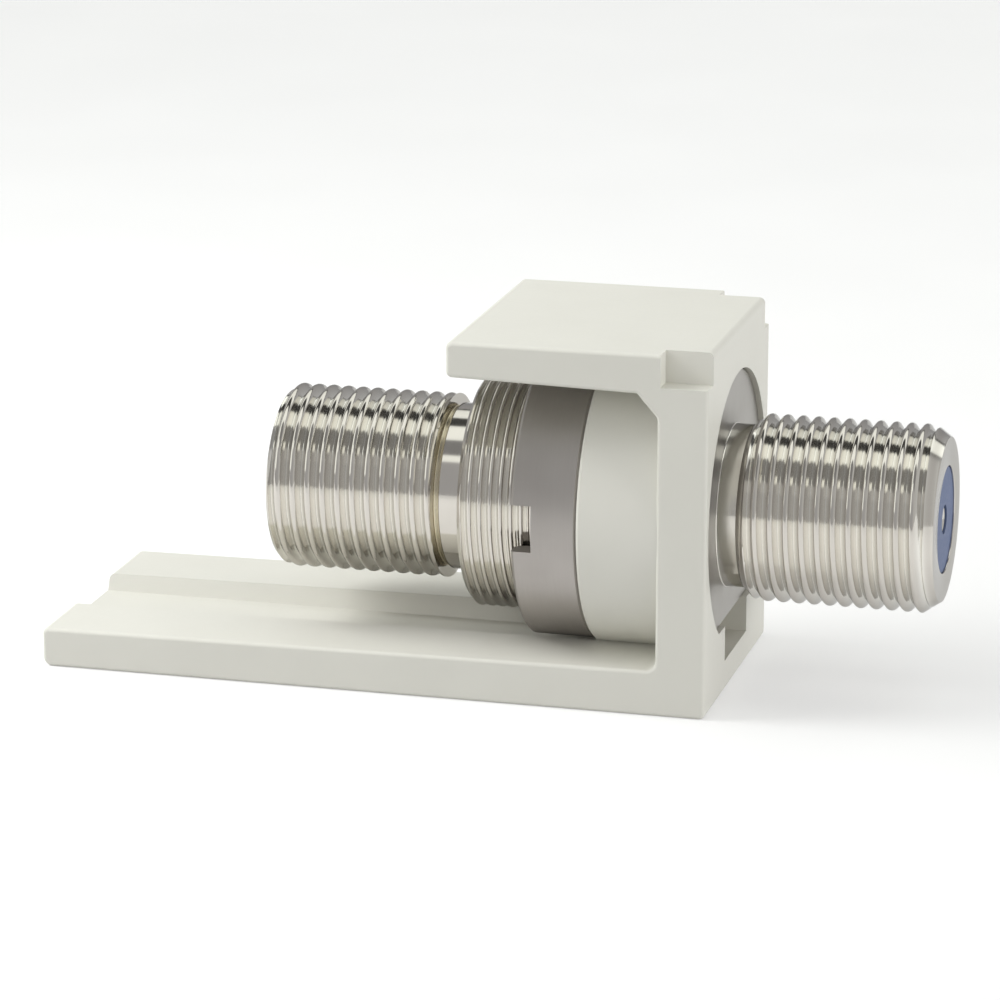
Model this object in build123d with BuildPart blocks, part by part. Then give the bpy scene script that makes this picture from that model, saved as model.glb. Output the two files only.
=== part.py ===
"""F-type coaxial connector clamped in a snap-in jack housing, in millimetres.

The moulded housing is one piece: a square front plate, a short top plate, a round boss behind the
front plate and a long grooved arm below. The nickel-plated connector drops into the plate from the
front. Its D-shaped flange seats in a D-shaped pocket, so it can't turn, and a slotted round nut on
its threaded collar clamps the boss from behind. Both ends of the connector are threaded ports, and
inside it two insulators hold a double-ended spring contact. The threads are fine ones, so each is
a plain cylinder of its major diameter with its real ends: a start cone, a chamfer or a relief.

+X leaves the front port and +Z is up. The arm's lower face lies at Z = 0, and the origin is under
the middle of the whole length.
"""

import os
from math import radians, sqrt, tan

from build123d import *

os.makedirs("parts", exist_ok=True)

# Major diameter of both ports: the standard F thread, 3/8 inch by 32 to the inch
port_major = 9.525

# Connector along its axis, from the flange's front face forwards
neck_diameter = 8.3
neck_length = 1.0
front_port_length = 10.94
front_tip_diameter = 8.34
front_chamfer = 0.85

# Connector behind the flange's front face
flange_radius = 6.95
flange_flat = 5.6
flange_thickness = 1.2
collar_diameter = 12.14
collar_length = 11.75
collar_chamfer = 0.25
shoulder_diameter = 8.6
shoulder_length = 1.4
relief_diameter = 8.2
relief_length = 0.3
rear_port_length = 8.81
rear_tip_diameter = 8.86
rear_chamfer = 0.33

# Inside of the connector
bore_diameter = 4.6
seat_diameter = 5.44
seat_depth = 5.2
insulator_recess = 0.1
insulator_clearance = 0.02
insulator_sleeve = 3.4
contact_diameter = 1.44
contact_recess = 0.1
contact_clearance = 0.03
socket_diameter = 1.04
socket_depth = 8.0
socket_mouth = 0.12
slit_width = 0.2
slit_length = 6.5

# Ring nut
nut_wall = 1.2
nut_thickness = 3.39
nut_thread_clearance = 0.03
nut_slot_width = 2.4
nut_slot_depth = 1.06
nut_edge = 0.15
nut_mouth = 0.3

# Housing: front plate, pocket and boss
plate_thickness = 2.55
pocket_clearance = 0.05
flange_recess = 0.25
side_wall = 0.475
collar_clearance = 0.08
boss_wall = 1.275
boss_length = 4.12
boss_edge = 0.15
key_width = 5.3
key_height = 1.85
key_depth = 2.0
notch_width = 1.22
notch_height = 1.65
notch_length = 2.4

# Housing: top plate and arm
top_plate_length = 13.3
top_plate_root = 2.02
top_plate_tip = 1.8
nut_top_clearance = 0.11
gusset_length = 1.05
gusset_height = 1.2
arm_length = 34.95
arm_root = 2.35
arm_tip = 2.03
arm_web = 1.2
groove_width = 5.7
groove_wall_angle = 25
nut_arm_clearance = 0.1

# Housing: rounded edges
heel_radius = 0.45
corner_radius = 0.3
inner_radius = 0.5
edge_radius = 0.2

# How far a cutter reaches past the surface it cuts
overcut = 0.05

# Sizes that follow from the ones above
collar_radius = collar_diameter / 2
nut_radius = collar_radius + nut_wall
bore_radius = collar_radius + collar_clearance
boss_radius = bore_radius + boss_wall
pocket_radius = flange_radius + pocket_clearance
pocket_flat = flange_flat + pocket_clearance
housing_width = 2 * (pocket_radius + side_wall)

# The nut hangs between the arm's two strips, just clear of their inner edges
axis_height = arm_root + nut_arm_clearance + sqrt(nut_radius**2 - (groove_width / 2) ** 2)
underside = axis_height + nut_radius + nut_top_clearance
housing_height = underside + top_plate_root

# Places along X
front_projection = front_port_length - flange_recess
front_x = (arm_length - front_projection) / 2
tail_x = front_x - arm_length
plate_back = front_x - plate_thickness
boss_back = plate_back - boss_length
top_plate_end = front_x - top_plate_length
flange_face = front_x - flange_recess
flange_back = flange_face - flange_thickness
collar_end = flange_back - collar_length
shoulder_end = collar_end - shoulder_length
relief_end = shoulder_end - relief_length
front_end = flange_face + front_port_length
rear_end = relief_end - rear_port_length

# Sections are drawn in this plane, along X and out from the connector's axis, and turned about it
axis_plane = Plane(origin=(0, 0, axis_height), x_dir=(1, 0, 0), z_dir=(0, -1, 0))
connector_axis = Axis((0, 0, axis_height), (1, 0, 0))


def cross_plane(x):
    """A plane across the connector at x, centred on its axis and facing +X."""
    return Plane(origin=(x, 0, axis_height), x_dir=(0, 1, 0), z_dir=(1, 0, 0))


def d_outline(radius, flat):
    """A disc with its lower side cut flat, where flat is the cut's distance from the centre."""
    Circle(radius)
    with Locations((0, -flat)):
        Rectangle(2 * radius, radius, align=(Align.CENTER, Align.MAX), mode=Mode.SUBTRACT)


# The housing, moulded in one piece
with BuildPart() as housing:
    # Side outline of the front plate, the top plate and the arm
    with BuildSketch(Plane.XZ.offset(-housing_width / 2)) as side:
        with BuildLine():
            Polyline(
                (tail_x, 0),
                (front_x, 0),
                (front_x, housing_height),
                (top_plate_end, housing_height),
                (top_plate_end, housing_height - top_plate_tip),
                (plate_back - gusset_length, underside),
                (plate_back, underside - gusset_height),
                (plate_back, arm_root),
                (tail_x, arm_tip),
                close=True,
            )
        make_face()
        # The corners are picked again for each radius, because a fillet makes the outline anew
        fillet(side.vertices().group_by(Axis.X)[-2], inner_radius)
        columns = side.vertices().group_by(Axis.X)
        arm_end = columns[0].sort_by(Axis.Y)
        fillet(columns[1] + columns[-1] + arm_end[1:], corner_radius)
        fillet(side.vertices().group_by(Axis.X)[0].sort_by(Axis.Y)[0], heel_radius)
    extrude(amount=housing_width)
    sides = housing.faces().sort_by(Axis.Y)
    fillet(sides[0].edges() + sides[-1].edges(), edge_radius)

    # Groove along the arm, up to the boss
    with BuildSketch(Plane.YZ.offset(tail_x)):
        wall_run = (arm_root + overcut - arm_web) * tan(radians(groove_wall_angle))
        floor_half = groove_width / 2 - (arm_tip - arm_web) * tan(radians(groove_wall_angle))
        with BuildLine():
            Polyline(
                (-floor_half, arm_web),
                (floor_half, arm_web),
                (floor_half + wall_run, arm_root + overcut),
                (-floor_half - wall_run, arm_root + overcut),
                close=True,
            )
        make_face()
    extrude(amount=boss_back - tail_x, mode=Mode.SUBTRACT)

    # Round boss with a bevelled rim, webbed to the top plate above it and to the arm below it
    boss_root = plate_back + plate_thickness / 2
    with BuildSketch(axis_plane):
        with BuildLine():
            Polyline(
                (boss_back, 0),
                (boss_back, boss_radius - boss_edge),
                (boss_back + boss_edge, boss_radius),
                (boss_root, boss_radius),
                (boss_root, 0),
                close=True,
            )
        make_face()
    revolve(axis=connector_axis)
    web_low = arm_web / 2
    web_high = housing_height - top_plate_tip / 2
    with BuildSketch(Plane.YZ.offset(boss_back)):
        with Locations((0, (web_low + web_high) / 2)):
            Rectangle(groove_width, web_high - web_low)
    extrude(amount=boss_root - boss_back)

    # D-shaped pocket for the flange, and the key slot below its flat
    pocket_depth = flange_recess + flange_thickness
    with BuildSketch(cross_plane(front_x)):
        d_outline(pocket_radius, pocket_flat)
    extrude(amount=-pocket_depth, mode=Mode.SUBTRACT)
    with BuildSketch(cross_plane(front_x)):
        with Locations((0, -pocket_flat + overcut)):
            Rectangle(key_width, key_height + overcut, align=(Align.CENTER, Align.MAX))
    extrude(amount=-key_depth, mode=Mode.SUBTRACT)

    # Bore for the collar, through the plate and the boss
    with BuildSketch(cross_plane(front_x)):
        Circle(bore_radius)
    extrude(amount=boss_back - front_x, mode=Mode.SUBTRACT)

    # Notches in the two upper front corners
    with BuildSketch(Plane.YZ.offset(front_x)):
        with GridLocations(housing_width, 0, 2, 1):
            with Locations((0, housing_height)):
                Rectangle(2 * notch_width, 2 * notch_height)
    extrude(amount=-notch_length, mode=Mode.SUBTRACT)

# The connector's body, turned from one bar
with BuildPart() as connector_body:
    with BuildSketch(axis_plane):
        with BuildLine():
            Polyline(
                (rear_end, seat_diameter / 2),
                (rear_end, rear_tip_diameter / 2),
                (rear_end + rear_chamfer, port_major / 2),
                (relief_end, port_major / 2),
                (relief_end, relief_diameter / 2),
                (shoulder_end, relief_diameter / 2),
                (shoulder_end, shoulder_diameter / 2),
                (collar_end, shoulder_diameter / 2),
                (collar_end, collar_radius - collar_chamfer),
                (collar_end + collar_chamfer, collar_radius),
                (flange_back, collar_radius),
                (flange_face, collar_radius),
                (flange_face, neck_diameter / 2),
                (flange_face + neck_length, neck_diameter / 2),
                (flange_face + neck_length + (port_major - neck_diameter) / 2, port_major / 2),
                (front_end - front_chamfer, port_major / 2),
                (front_end, front_tip_diameter / 2),
                (front_end, seat_diameter / 2),
                (front_end - seat_depth, seat_diameter / 2),
                (front_end - seat_depth, bore_diameter / 2),
                (rear_end + seat_depth, bore_diameter / 2),
                (rear_end + seat_depth, seat_diameter / 2),
                close=True,
            )
        make_face()
    revolve(axis=connector_axis)

    # D-shaped flange
    with BuildSketch(cross_plane(flange_back)):
        d_outline(flange_radius, flange_flat)
        Circle(bore_diameter / 2, mode=Mode.SUBTRACT)
    extrude(amount=flange_thickness)

# The nut that clamps the boss against the flange
with BuildPart() as ring_nut:
    with BuildSketch(cross_plane(boss_back)):
        Circle(nut_radius)
        Circle(collar_radius + nut_thread_clearance, mode=Mode.SUBTRACT)
    extrude(amount=-nut_thickness)
    rims = ring_nut.edges().filter_by(GeomType.CIRCLE).sort_by(SortBy.RADIUS)
    chamfer(rims[-2:], nut_edge)
    chamfer(rims[:2], nut_mouth)
    # One slot straight across the rear face, for a flat spanner
    with BuildSketch(cross_plane(boss_back - nut_thickness)):
        Rectangle(2 * nut_radius + overcut, nut_slot_width)
    extrude(amount=nut_slot_depth, mode=Mode.SUBTRACT)


def build_insulator(end_x, outward):
    """The insulator pressed into the port that ends at end_x, where outward is its side of X."""
    face = end_x - outward * insulator_recess
    shoulder = end_x - outward * seat_depth
    sleeve_end = shoulder - outward * insulator_sleeve
    hole = contact_diameter / 2 + contact_clearance
    with BuildPart() as insulator:
        with BuildSketch(axis_plane):
            with BuildLine():
                Polyline(
                    (face, hole),
                    (face, seat_diameter / 2 - insulator_clearance),
                    (shoulder, seat_diameter / 2 - insulator_clearance),
                    (shoulder, bore_diameter / 2 - insulator_clearance),
                    (sleeve_end, bore_diameter / 2 - insulator_clearance),
                    (sleeve_end, hole),
                    close=True,
                )
            make_face()
        revolve(axis=connector_axis)
    return insulator


front_insulator = build_insulator(front_end, 1)
rear_insulator = build_insulator(rear_end, -1)

# The double-ended contact: a rod drilled at both ends, each end slit into two spring fingers
with BuildPart() as contact:
    contact_front = front_end - insulator_recess - contact_recess
    contact_rear = rear_end + insulator_recess + contact_recess
    with BuildSketch(axis_plane):
        with BuildLine():
            Polyline(
                (contact_front, socket_diameter / 2 + socket_mouth),
                (contact_front, contact_diameter / 2),
                (contact_rear, contact_diameter / 2),
                (contact_rear, socket_diameter / 2 + socket_mouth),
                (contact_rear + socket_mouth, socket_diameter / 2),
                (contact_rear + socket_depth, socket_diameter / 2),
                (contact_rear + socket_depth, 0),
                (contact_front - socket_depth, 0),
                (contact_front - socket_depth, socket_diameter / 2),
                (contact_front - socket_mouth, socket_diameter / 2),
                close=True,
            )
        make_face()
    revolve(axis=connector_axis)
    for tip, inward in ((contact_front, -1), (contact_rear, 1)):
        with BuildSketch(cross_plane(tip)):
            Rectangle(slit_width, contact_diameter + overcut)
        extrude(amount=inward * slit_length, mode=Mode.SUBTRACT)

housing.part.label = "housing"
export_step(housing.part, "parts/housing.step")

connector_body.part.label = "connector_body"
export_step(connector_body.part, "parts/connector_body.step")

ring_nut.part.label = "ring_nut"
export_step(ring_nut.part, "parts/ring_nut.step")

front_insulator.part.label = "front_insulator"
export_step(front_insulator.part, "parts/front_insulator.step")

rear_insulator.part.label = "rear_insulator"
export_step(rear_insulator.part, "parts/rear_insulator.step")

contact.part.label = "contact"
export_step(contact.part, "parts/contact.step")
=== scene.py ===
import math
from math import cos, hypot, pi, radians, sin

import bmesh
import bpy
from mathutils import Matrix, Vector


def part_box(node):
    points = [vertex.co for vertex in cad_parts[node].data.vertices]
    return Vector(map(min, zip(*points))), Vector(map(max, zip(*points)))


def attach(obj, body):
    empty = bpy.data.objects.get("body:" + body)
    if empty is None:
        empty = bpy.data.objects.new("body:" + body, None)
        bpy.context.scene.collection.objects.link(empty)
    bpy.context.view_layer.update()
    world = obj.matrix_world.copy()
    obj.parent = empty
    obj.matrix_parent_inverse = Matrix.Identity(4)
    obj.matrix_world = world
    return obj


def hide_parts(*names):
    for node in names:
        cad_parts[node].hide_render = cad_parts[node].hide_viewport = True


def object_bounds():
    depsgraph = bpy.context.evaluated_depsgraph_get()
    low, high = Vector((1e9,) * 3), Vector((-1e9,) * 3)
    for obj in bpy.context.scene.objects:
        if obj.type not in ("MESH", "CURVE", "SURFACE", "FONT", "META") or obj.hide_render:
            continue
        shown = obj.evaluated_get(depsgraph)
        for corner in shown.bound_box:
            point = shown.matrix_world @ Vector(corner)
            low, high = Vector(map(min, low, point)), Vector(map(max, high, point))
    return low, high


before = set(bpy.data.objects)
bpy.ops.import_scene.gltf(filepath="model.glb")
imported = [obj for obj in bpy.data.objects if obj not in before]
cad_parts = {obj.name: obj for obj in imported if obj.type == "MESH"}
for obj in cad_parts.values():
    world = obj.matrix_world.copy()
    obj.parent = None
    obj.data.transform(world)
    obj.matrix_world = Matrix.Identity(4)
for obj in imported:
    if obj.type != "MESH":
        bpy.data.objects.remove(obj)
cad_low, cad_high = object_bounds()

# All sizes here are in metres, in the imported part's own frame: +X leaves the front port, +Z is up
MM = 0.001

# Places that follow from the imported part
body_low, body_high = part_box("connector_body")
nut_low, nut_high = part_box("ring_nut")
axis_height = (nut_low.z + nut_high.z) / 2
rear_end = body_low.x
front_end = body_high.x

# The connector's body, from the rear face forwards
port_radius = 4.7625 * MM
port_pitch = 25.4 / 32 * MM
rear_tip_radius = 4.43 * MM
rear_chamfer = 0.33 * MM
relief_end = rear_end + 8.81 * MM
relief_radius = 4.1 * MM
shoulder_end = relief_end + 0.3 * MM
shoulder_radius = 4.3 * MM
collar_end = shoulder_end + 1.4 * MM
collar_radius = 6.07 * MM
collar_pitch = 0.54 * MM
collar_chamfer = 0.25 * MM
flange_back = collar_end + 11.75 * MM
flange_face = flange_back + 1.2 * MM
flange_radius = 6.95 * MM
flange_flat = 5.6 * MM
neck_end = flange_face + 1.0 * MM
neck_radius = 4.15 * MM
front_chamfer = 0.85 * MM
front_tip_radius = 4.17 * MM
rear_crest = rear_end + 0.47 * MM
front_crest = flange_face + 1.81 * MM
seat_radius = 2.72 * MM
seat_depth = 5.2 * MM
bore_radius = 2.3 * MM

# Thread form, in shares of the pitch: flats, depth, and how far the corners are rounded to each side
crest_share = 0.26
root_share = 0.1
depth_share = 0.47
crest_round = 0.1
root_round = 0.04

# How finely the body is drawn
segments = 128
edge_round = 0.05 * MM
merge_distance = 0.5e-6
sharp_angle = radians(35)

# The camera, fitted to the photograph
view_yaw = radians(14.9)
view_pitch = radians(15.58)
view_distance = 224.285 * MM
view_target = Vector((-0.355, 0, 8.496)) * MM
view_lens = 156.68
view_sensor = 36

# Surfaces: noises in features per metre, the part of a noise's range that is used, and bumps
noise_low = 0.3
noise_high = 0.7
mottle_scale = 220
mould_bump = 0.12
mould_relief = 0.01 * MM
cloud_scale = 400
turning_scale = 900
turning_stretch = (30, 0.6, 0.6)
turning_bump = 0.1
turning_relief = 0.004 * MM
metal_specular_tint = (0.62, 0.62, 0.62, 1)

# The floor: its own grey, and the glow by which camera and gloss see it as pale
floor_size = 4.0
paper_scale = 60
paper_dark = (0.59, 0.59, 0.59)
paper_light = (0.61, 0.61, 0.61)
paper_glow = 0.41

# The world: how softly its bands meet, in degrees
band_softness = 1.2


def thread_form(pitch):
    """One turn of the thread as (share of the pitch, depth below the crest), with rounded corners."""
    crest = crest_share / 2
    root = 0.5 - root_share / 2
    depth = depth_share * pitch

    def trapezoid(phase):
        reach = (min(phase, 1 - phase) - crest) / (root - crest)
        return depth * min(1, max(0, reach))

    def softened(phase, spread, steps=8):
        window = [spread * (2 * i / steps - 1) for i in range(steps + 1)]
        return sum(trapezoid((phase + shift) % 1) for shift in window) / (steps + 1)

    form = [(0.0, softened(0, crest_round))]
    for part in (-1, -0.5, 0, 0.5, 1):
        phase = crest + part * crest_round
        form.append((phase, softened(phase, crest_round)))
    for phase in ((crest + root) / 2, root - root_round, root + root_round):
        form.append((phase, softened(phase, root_round)))
    form += [(1 - phase, drop) for phase, drop in reversed(form[1:])]
    return form


def thread_rows(start, end, pitch, major, crest, envelope):
    """Rings of a right-handed thread from start to end, cut down to the envelope's radius.

    At the top of the thread, one crest lies at the given x.
    """
    form = thread_form(pitch)
    first = math.floor((start - crest) / pitch) - 1
    last = math.ceil((end - crest) / pitch) + 1
    rows = []
    for turn in range(first, last):
        for phase, drop in form:
            row = []
            for step in range(segments + 1):
                x = crest + (turn + phase + step / segments) * pitch
                held = min(end, max(start, x))
                depth = drop if held == x else 0
                row.append((held, min(major - depth, envelope(held)), depth / (depth_share * pitch)))
            rows.append(row)
    return rows


def plain_row(x, radius, sunk=0):
    """A ring of one radius."""
    return [(x, radius, sunk)] * (segments + 1)


def d_row(x, radius, flat):
    """A ring cut flat on its lower side."""
    row = []
    for step in range(segments + 1):
        down = -cos(2 * pi * step / segments)
        reach = flat / down if down > flat / radius else radius
        row.append((x, reach, 0))
    return row


def cone(x_from, r_from, x_to, r_to):
    """A straight taper between two radii, as a function of x."""
    return lambda x: r_from + (r_to - r_from) * (x - x_from) / (x_to - x_from)


def rounded_corner(before, corner, after, radius=edge_round, steps=3):
    """Points that round a corner of a profile."""
    corner = Vector(corner)
    to_before = (Vector(before) - corner).normalized()
    to_after = (Vector(after) - corner).normalized()
    first = corner + to_before * radius
    last = corner + to_after * radius
    points = []
    for step in range(steps + 1):
        t = step / steps
        points.append(first * (1 - t) ** 2 + corner * 2 * t * (1 - t) + last * t**2)
    return points


def profile_rows(points, sunk=0):
    """Plain rings along a profile whose inner corners are rounded a little."""
    rows = [plain_row(*points[0], sunk)]
    for before, corner, after in zip(points, points[1:], points[2:]):
        rows += [plain_row(*p, sunk) for p in rounded_corner(before, corner, after)]
    rows.append(plain_row(*points[-1], sunk))
    return rows


def rear_port_rows():
    """The rear port, from its insulator's seat over its face to the end of its thread."""
    inside = rear_end + seat_depth
    taper = cone(rear_end, rear_tip_radius, rear_end + rear_chamfer, port_radius)
    rows = profile_rows([(inside, seat_radius), (rear_end, seat_radius), (rear_end, rear_tip_radius)])
    rows += thread_rows(rear_end, relief_end, port_pitch, port_radius, rear_crest, taper)
    return rows


def shoulder_rows():
    """The relief groove, the smooth shoulder and the collar's rear face."""
    return profile_rows(
        [
            (relief_end, port_radius),
            (relief_end, relief_radius),
            (shoulder_end, relief_radius),
            (shoulder_end, shoulder_radius),
            (collar_end, shoulder_radius),
            (collar_end, collar_radius - collar_chamfer),
        ]
    )


def collar_rows():
    """The collar: its fine thread up to the nut's front face, then plain up to the flange."""
    tip_radius = collar_radius - collar_chamfer
    taper = cone(collar_end, tip_radius, collar_end + collar_chamfer, collar_radius)
    rows = thread_rows(collar_end, nut_high.x, collar_pitch, collar_radius, collar_end, taper)
    rows.append(plain_row(flange_back, collar_radius))
    return rows


def flange_rows():
    """The D-shaped flange and the neck before it."""
    rows = [d_row(flange_back, flange_radius, flange_flat)]
    rows.append(d_row(flange_face - edge_round, flange_radius, flange_flat))
    rows.append(d_row(flange_face, flange_radius - edge_round, flange_flat - edge_round))
    neck = [(flange_face, neck_radius + edge_round), (flange_face, neck_radius), (neck_end, neck_radius)]
    # The neck takes the full groove share, and with it the grooves' painted light
    rows += profile_rows(neck, sunk=1)
    return rows


def front_port_rows():
    """The front port, from its thread's start over its face to its insulator's seat."""
    inside = front_end - seat_depth
    start = cone(neck_end, neck_radius, neck_end + port_radius - neck_radius, port_radius)
    tip = cone(front_end - front_chamfer, port_radius, front_end, front_tip_radius)

    def tapers(x):
        return min(start(x), tip(x))

    rows = thread_rows(neck_end, front_end, port_pitch, port_radius, front_crest, tapers)
    rows += profile_rows([(front_end, front_tip_radius), (front_end, seat_radius), (inside, seat_radius)])
    return rows


def mesh_of_rows(name, rows):
    """A closed mesh of rings about the connector's axis, each (x, radius, share of groove) by angle; the
    share of groove sets the painted light in the grooves.
    """
    mesh = bpy.data.meshes.new(name)
    bm = bmesh.new()
    groove = bm.verts.layers.float.new("groove")
    rings = []
    for row in rows:
        ring = []
        for step, (x, radius, sunk) in enumerate(row):
            angle = 2 * pi * step / segments
            place = (x, -radius * sin(angle), axis_height + radius * cos(angle))
            vert = bm.verts.new(place)
            vert[groove] = sunk
            ring.append(vert)
        rings.append(ring)
    rings.append(rings[0])
    for lower, upper in zip(rings, rings[1:]):
        for step in range(segments):
            bm.faces.new((lower[step], lower[step + 1], upper[step + 1], upper[step]))
    bmesh.ops.remove_doubles(bm, verts=bm.verts, dist=merge_distance)
    bmesh.ops.recalc_face_normals(bm, faces=bm.faces)
    for face in bm.faces:
        face.smooth = True
    bm.to_mesh(mesh)
    bm.free()
    piece = bpy.data.objects.new(name, mesh)
    bpy.context.scene.collection.objects.link(piece)
    return piece


def soften_shading(piece):
    """Keeps sharp edges crisp and weights the other normals by area."""
    piece.data.set_sharp_from_angle(angle=sharp_angle)
    weigh = piece.modifiers.new("weighted_normals", "WEIGHTED_NORMAL")
    weigh.keep_sharp = True


def build_body():
    """The turned body with its helical threads and D-shaped flange."""
    rows = [plain_row(front_end - seat_depth, bore_radius), plain_row(rear_end + seat_depth, bore_radius)]
    rows += rear_port_rows()
    rows += shoulder_rows()
    rows += collar_rows()
    rows += flange_rows()
    rows += front_port_rows()
    body = mesh_of_rows("connector_body_turned", rows)
    soften_shading(body)
    return body


def new_material(name):
    """An empty node material with its Principled shader."""
    material = bpy.data.materials.new(name)
    material.use_nodes = True
    shader = material.node_tree.nodes["Principled BSDF"]
    return material, material.node_tree.nodes, material.node_tree.links, shader


def noise(nodes, links, scale, detail=2.0, stretch=None):
    """A noise in object space, with scale in features per metre, stretched along axes if asked."""
    where = nodes.new("ShaderNodeTexCoord")
    texture = nodes.new("ShaderNodeTexNoise")
    texture.inputs["Scale"].default_value = scale
    texture.inputs["Detail"].default_value = detail
    if stretch:
        mapping = nodes.new("ShaderNodeMapping")
        mapping.inputs["Scale"].default_value = stretch
        links.new(where.outputs["Object"], mapping.inputs["Vector"])
        links.new(mapping.outputs["Vector"], texture.inputs["Vector"])
    else:
        links.new(where.outputs["Object"], texture.inputs["Vector"])
    return texture.outputs["Fac"]


def ranged(nodes, links, source, low, high):
    """Maps a noise's middle range to values from low to high."""
    spread = nodes.new("ShaderNodeMapRange")
    spread.inputs["From Min"].default_value = noise_low
    spread.inputs["From Max"].default_value = noise_high
    spread.inputs["To Min"].default_value = low
    spread.inputs["To Max"].default_value = high
    links.new(source, spread.inputs["Value"])
    return spread.outputs["Result"]


def tinted(nodes, links, source, dark, light):
    """A colour that a noise moves between two near tones."""
    ramp = nodes.new("ShaderNodeValToRGB")
    ramp.color_ramp.elements[0].position = noise_low
    ramp.color_ramp.elements[0].color = (*dark, 1)
    ramp.color_ramp.elements[1].position = noise_high
    ramp.color_ramp.elements[1].color = (*light, 1)
    links.new(source, ramp.inputs["Fac"])
    return ramp.outputs["Color"]


def mixed(nodes, links, factor, first):
    """A mix of a first colour with the one that its input B gets."""
    mix = nodes.new("ShaderNodeMix")
    mix.data_type = "RGBA"
    links.new(factor, mix.inputs["Factor"])
    links.new(first, mix.inputs["A"])
    return mix


def bumped(nodes, links, shader, source, strength, distance):
    """Raises the surface by a noise."""
    bump = nodes.new("ShaderNodeBump")
    bump.inputs["Strength"].default_value = strength
    bump.inputs["Distance"].default_value = distance
    links.new(source, bump.inputs["Height"])
    links.new(bump.outputs["Normal"], shader.inputs["Normal"])


def plastic(name, dark, light, rough, grain):
    """Moulded plastic with faint mottling and a fine texture."""
    material, nodes, links, shader = new_material(name)
    mottle = noise(nodes, links, mottle_scale)
    fine = noise(nodes, links, grain, detail=3)
    links.new(tinted(nodes, links, mottle, dark, light), shader.inputs["Base Color"])
    links.new(ranged(nodes, links, fine, *rough), shader.inputs["Roughness"])
    bumped(nodes, links, shader, fine, mould_bump, mould_relief)
    return material


def turned_metal(name, dark, light, rough):
    """Plated metal with the fine rings that turning leaves."""
    material, nodes, links, shader = new_material(name)
    shader.inputs["Metallic"].default_value = 1
    shader.inputs["Specular Tint"].default_value = metal_specular_tint
    rings = noise(nodes, links, turning_scale, detail=4, stretch=turning_stretch)
    cloud = noise(nodes, links, cloud_scale)
    links.new(tinted(nodes, links, cloud, dark, light), shader.inputs["Base Color"])
    links.new(ranged(nodes, links, rings, *rough), shader.inputs["Roughness"])
    bumped(nodes, links, shader, rings, turning_bump, turning_relief)
    return material


def paint_light_in_grooves(material, tone):
    """Paints a lighter colour on turned metal down in the threads' grooves, as painted light against the
    shade between the flanks.
    """
    nodes, links = material.node_tree.nodes, material.node_tree.links
    shader = nodes["Principled BSDF"]
    plate = shader.inputs["Base Color"].links[0].from_socket
    sunk = nodes.new("ShaderNodeAttribute")
    sunk.attribute_name = "groove"
    mix = mixed(nodes, links, sunk.outputs["Fac"], plate)
    mix.inputs["B"].default_value = (*tone, 1)
    links.new(mix.outputs["Result"], shader.inputs["Base Color"])


def body_finish(place):
    """The body's finish at a place: yellow-tinted metal at the relief, satin on the flange's face, or
    plated.
    """
    reach = hypot(place.y, place.z - axis_height)
    if relief_end < place.x < shoulder_end and reach < shoulder_radius:
        return "yellow_tinted"
    if abs(place.x - flange_face) < edge_round / 2 and reach > neck_radius + edge_round:
        return "faced"
    return "plated"


def dress_body(body, plated, yellow_tinted, faced):
    """Gives each face of the body its finish."""
    slots = {"plated": 0, "yellow_tinted": 1, "faced": 2}
    for material in (plated, yellow_tinted, faced):
        body.data.materials.append(material)
    for face in body.data.polygons:
        face.material_index = slots[body_finish(face.center)]


def banded(nodes, links, share, bands):
    """Colours in bands, each given by its upper end in degrees and its radiance."""
    ramp = nodes.new("ShaderNodeValToRGB")
    stops = ramp.color_ramp.elements
    stops[0].position = 0
    stops[0].color = (*bands[0][1:], 1)
    stops[1].position = 1
    stops[1].color = (*bands[-1][1:], 1)
    for (end, *colour), (_, *following) in zip(bands, bands[1:]):
        stop = stops.new((end - band_softness) / 180)
        stop.color = (*colour, 1)
        stop = stops.new((end + band_softness) / 180)
        stop.color = (*following, 1)
    links.new(share, ramp.inputs["Fac"])
    return ramp.outputs["Color"]


def share_of_half_turn(nodes, links, direction):
    """The angle from the horizon before the object, over it, to the one behind, as 0 to 1."""
    towards_front = nodes.new("ShaderNodeMath")
    towards_front.operation = "MULTIPLY"
    towards_front.inputs[1].default_value = -1
    links.new(direction["Y"], towards_front.inputs[0])
    turn = nodes.new("ShaderNodeMath")
    turn.operation = "ARCTAN2"
    links.new(direction["Z"], turn.inputs[0])
    links.new(towards_front.outputs["Value"], turn.inputs[1])
    share = nodes.new("ShaderNodeMapRange")
    share.inputs["From Min"].default_value = 0
    share.inputs["From Max"].default_value = pi
    links.new(turn.outputs["Value"], share.inputs["Value"])
    return share.outputs["Result"]


def stepped(nodes, links, source, start, end):
    """A soft step from 0 at the start to 1 at the end."""
    step = nodes.new("ShaderNodeMapRange")
    step.interpolation_type = "SMOOTHSTEP"
    step.inputs["From Min"].default_value = start
    step.inputs["From Max"].default_value = end
    links.new(source, step.inputs["Value"])
    return step.outputs["Result"]


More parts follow.
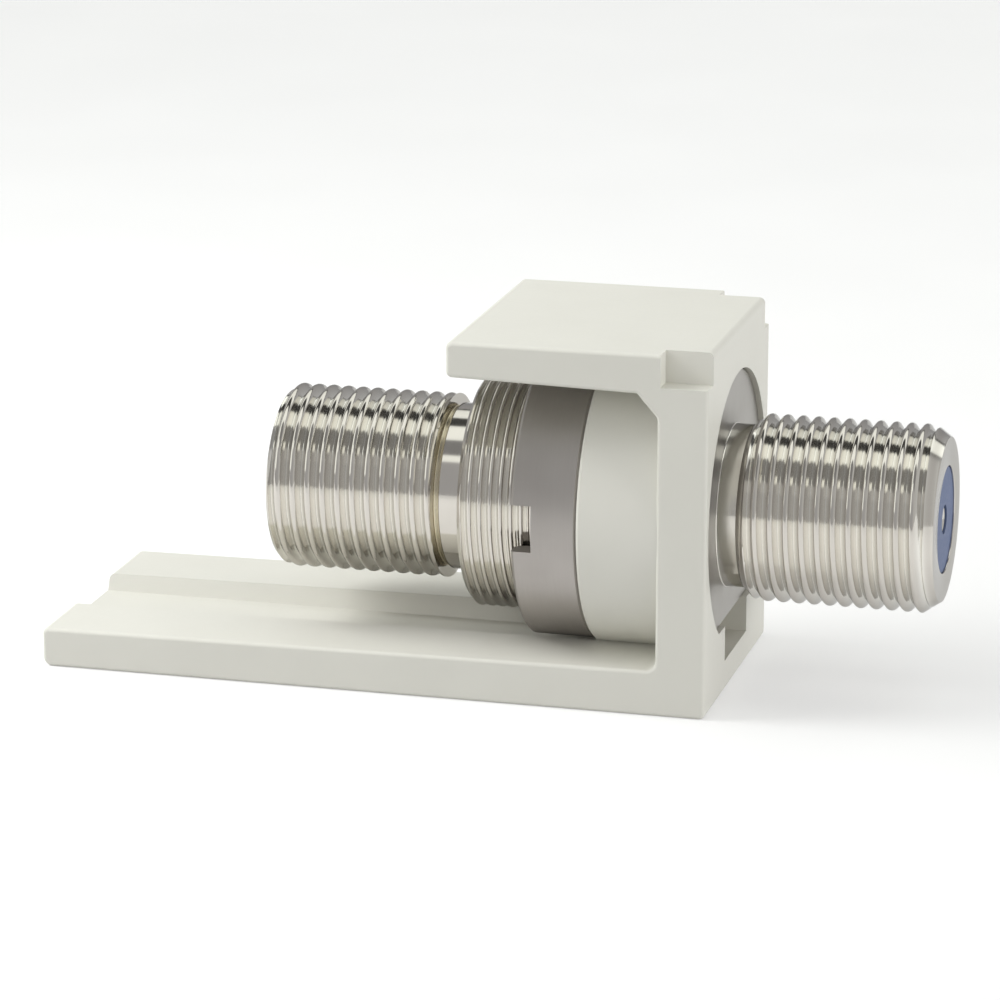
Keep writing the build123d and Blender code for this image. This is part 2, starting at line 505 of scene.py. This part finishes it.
def studio_world():
    """Long soft strips of light over a grey room, as bands round the connector's axis."""
    world = bpy.data.worlds.new("studio")
    bpy.context.scene.world = world
    world.use_nodes = True
    nodes, links = world.node_tree.nodes, world.node_tree.links
    where = nodes.new("ShaderNodeTexCoord")
    split = nodes.new("ShaderNodeSeparateXYZ")
    links.new(where.outputs["Generated"], split.inputs["Vector"])
    share = share_of_half_turn(nodes, links, split.outputs)

    lamp = (1.28, 1.31, 1.25)
    room = (0.47, 0.47, 0.475)
    haze = (0.55, 0.55, 0.55)
    dusk = (0.28, 0.28, 0.28)
    wall = (0.58, 0.58, 0.57)
    gap = (0.065, 0.065, 0.065)
    above = [(107, *lamp), (125, *gap), (146, *lamp), (150, *gap), (180, *room)]
    over = [(48, *room), (58, *lamp), (82, *dusk), *above]
    over_right = [(34, *room), (50, *haze), (83, *dusk), *above]
    left = [(20, *room), *above]
    far_right = [(180, *wall)]

    # Towards each side other bands take over, from the first to the second value of the direction's X
    sides = [(-0.5, -0.6, left), (-0.24, -0.2, over_right), (0.55, 0.65, far_right)]
    colour = banded(nodes, links, share, over)
    for start, end, bands in sides:
        mix = mixed(nodes, links, stepped(nodes, links, split.outputs["X"], start, end), colour)
        links.new(banded(nodes, links, share, bands), mix.inputs["B"])
        colour = mix.outputs["Result"]
    links.new(colour, nodes["Background"].inputs["Color"])


def soft_lamp(name, place, diameter, power):
    """A round lamp, aimed at the part, that the metal doesn't mirror."""
    lamp = bpy.data.lights.new(name, "AREA")
    lamp.shape = "DISK"
    lamp.size = diameter
    lamp.energy = power
    holder = bpy.data.objects.new(name, lamp)
    bpy.context.scene.collection.objects.link(holder)
    holder.location = place
    holder.rotation_mode = "QUATERNION"
    holder.rotation_quaternion = (view_target - holder.location).to_track_quat("-Z", "Y")
    holder.visible_glossy = False


def pale_floor():
    """A wide grey floor that camera, metal and gloss see as pale, under the object's shadow."""
    bpy.ops.mesh.primitive_plane_add(size=floor_size, location=(0, 0, cad_low.z))
    floor = bpy.context.object
    floor.name = "floor"
    material, nodes, links, shader = new_material("floor_paper")
    grain = noise(nodes, links, paper_scale)
    links.new(tinted(nodes, links, grain, paper_dark, paper_light), shader.inputs["Base Color"])
    shader.inputs["Roughness"].default_value = 1
    shader.inputs["Specular IOR Level"].default_value = 0
    shader.inputs["Emission Color"].default_value = (1, 1, 1, 1)
    path = nodes.new("ShaderNodeLightPath")
    seen = path.outputs["Is Camera Ray"]
    for kind in ("Is Glossy Ray", "Is Transmission Ray"):
        either = nodes.new("ShaderNodeMath")
        either.operation = "MAXIMUM"
        links.new(seen, either.inputs[0])
        links.new(path.outputs[kind], either.inputs[1])
        seen = either.outputs["Value"]
    glow = nodes.new("ShaderNodeMath")
    glow.operation = "MULTIPLY"
    glow.inputs[1].default_value = paper_glow
    links.new(seen, glow.inputs[0])
    links.new(glow.outputs["Value"], shader.inputs["Emission Strength"])
    floor.data.materials.append(material)


def add_camera():
    """The camera at the photograph's angle and distance."""
    camera = bpy.data.objects.new("camera", bpy.data.cameras.new("camera"))
    bpy.context.scene.collection.objects.link(camera)
    bpy.context.scene.camera = camera
    camera.data.lens = view_lens
    camera.data.sensor_width = view_sensor
    camera.data.clip_start = 0.01
    camera.data.clip_end = 20
    forward = Vector((-sin(view_yaw) * cos(view_pitch), cos(view_yaw) * cos(view_pitch), -sin(view_pitch)))
    camera.location = view_target - forward * view_distance
    camera.rotation_mode = "QUATERNION"
    camera.rotation_quaternion = forward.to_track_quat("-Z", "Y")


nickel = turned_metal(
    "nickel_plate", dark=(0.62, 0.59, 0.545), light=(0.66, 0.63, 0.585), rough=(0.08, 0.14)
)
# Painted light: a lighter colour in the thread grooves and on the neck, against their shade
paint_light_in_grooves(nickel, tone=(0.86, 0.84, 0.79))
faced_nickel = turned_metal(
    "faced_nickel", dark=(0.56, 0.54, 0.51), light=(0.6, 0.58, 0.55), rough=(0.3, 0.36)
)
# Yellow-tinted metal for the thin line at the relief groove
yellow_relief_metal = turned_metal("yellow_relief_metal", dark=(0.74, 0.67, 0.5), light=(0.8, 0.73, 0.56), rough=(0.2, 0.3))
nut_nickel = turned_metal(
    "satin_nickel", dark=(0.41, 0.385, 0.365), light=(0.44, 0.415, 0.395), rough=(0.44, 0.52)
)
tin = turned_metal("tin_plate", dark=(0.66, 0.65, 0.62), light=(0.72, 0.71, 0.68), rough=(0.2, 0.3))
off_white = plastic(
    "off_white_plastic", dark=(0.73, 0.72, 0.66), light=(0.75, 0.74, 0.68), rough=(0.42, 0.5), grain=4200
)
blue = plastic(
    "blue_plastic", dark=(0.085, 0.12, 0.23), light=(0.1, 0.135, 0.26), rough=(0.5, 0.6), grain=5200
)

body = build_body()
dress_body(body, plated=nickel, yellow_tinted=yellow_relief_metal, faced=faced_nickel)
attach(body, "root")
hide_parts("connector_body")

dress_cad = {
    "housing": off_white,
    "ring_nut": nut_nickel,
    "front_insulator": blue,
    "rear_insulator": blue,
    "contact": tin,
}
for name, material in dress_cad.items():
    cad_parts[name].data.materials[0] = material

studio_world()
soft_lamp("key", place=(-0.1, -0.018, 0.1), diameter=0.08, power=0.108)
soft_lamp("side", place=(-0.2, -0.9, 0.38), diameter=0.5, power=0.8)
soft_lamp("fill", place=(0.97, -0.15, 0.12), diameter=0.5, power=4.4)
pale_floor()
add_camera()
bpy.context.scene.view_settings.view_transform = "Standard"
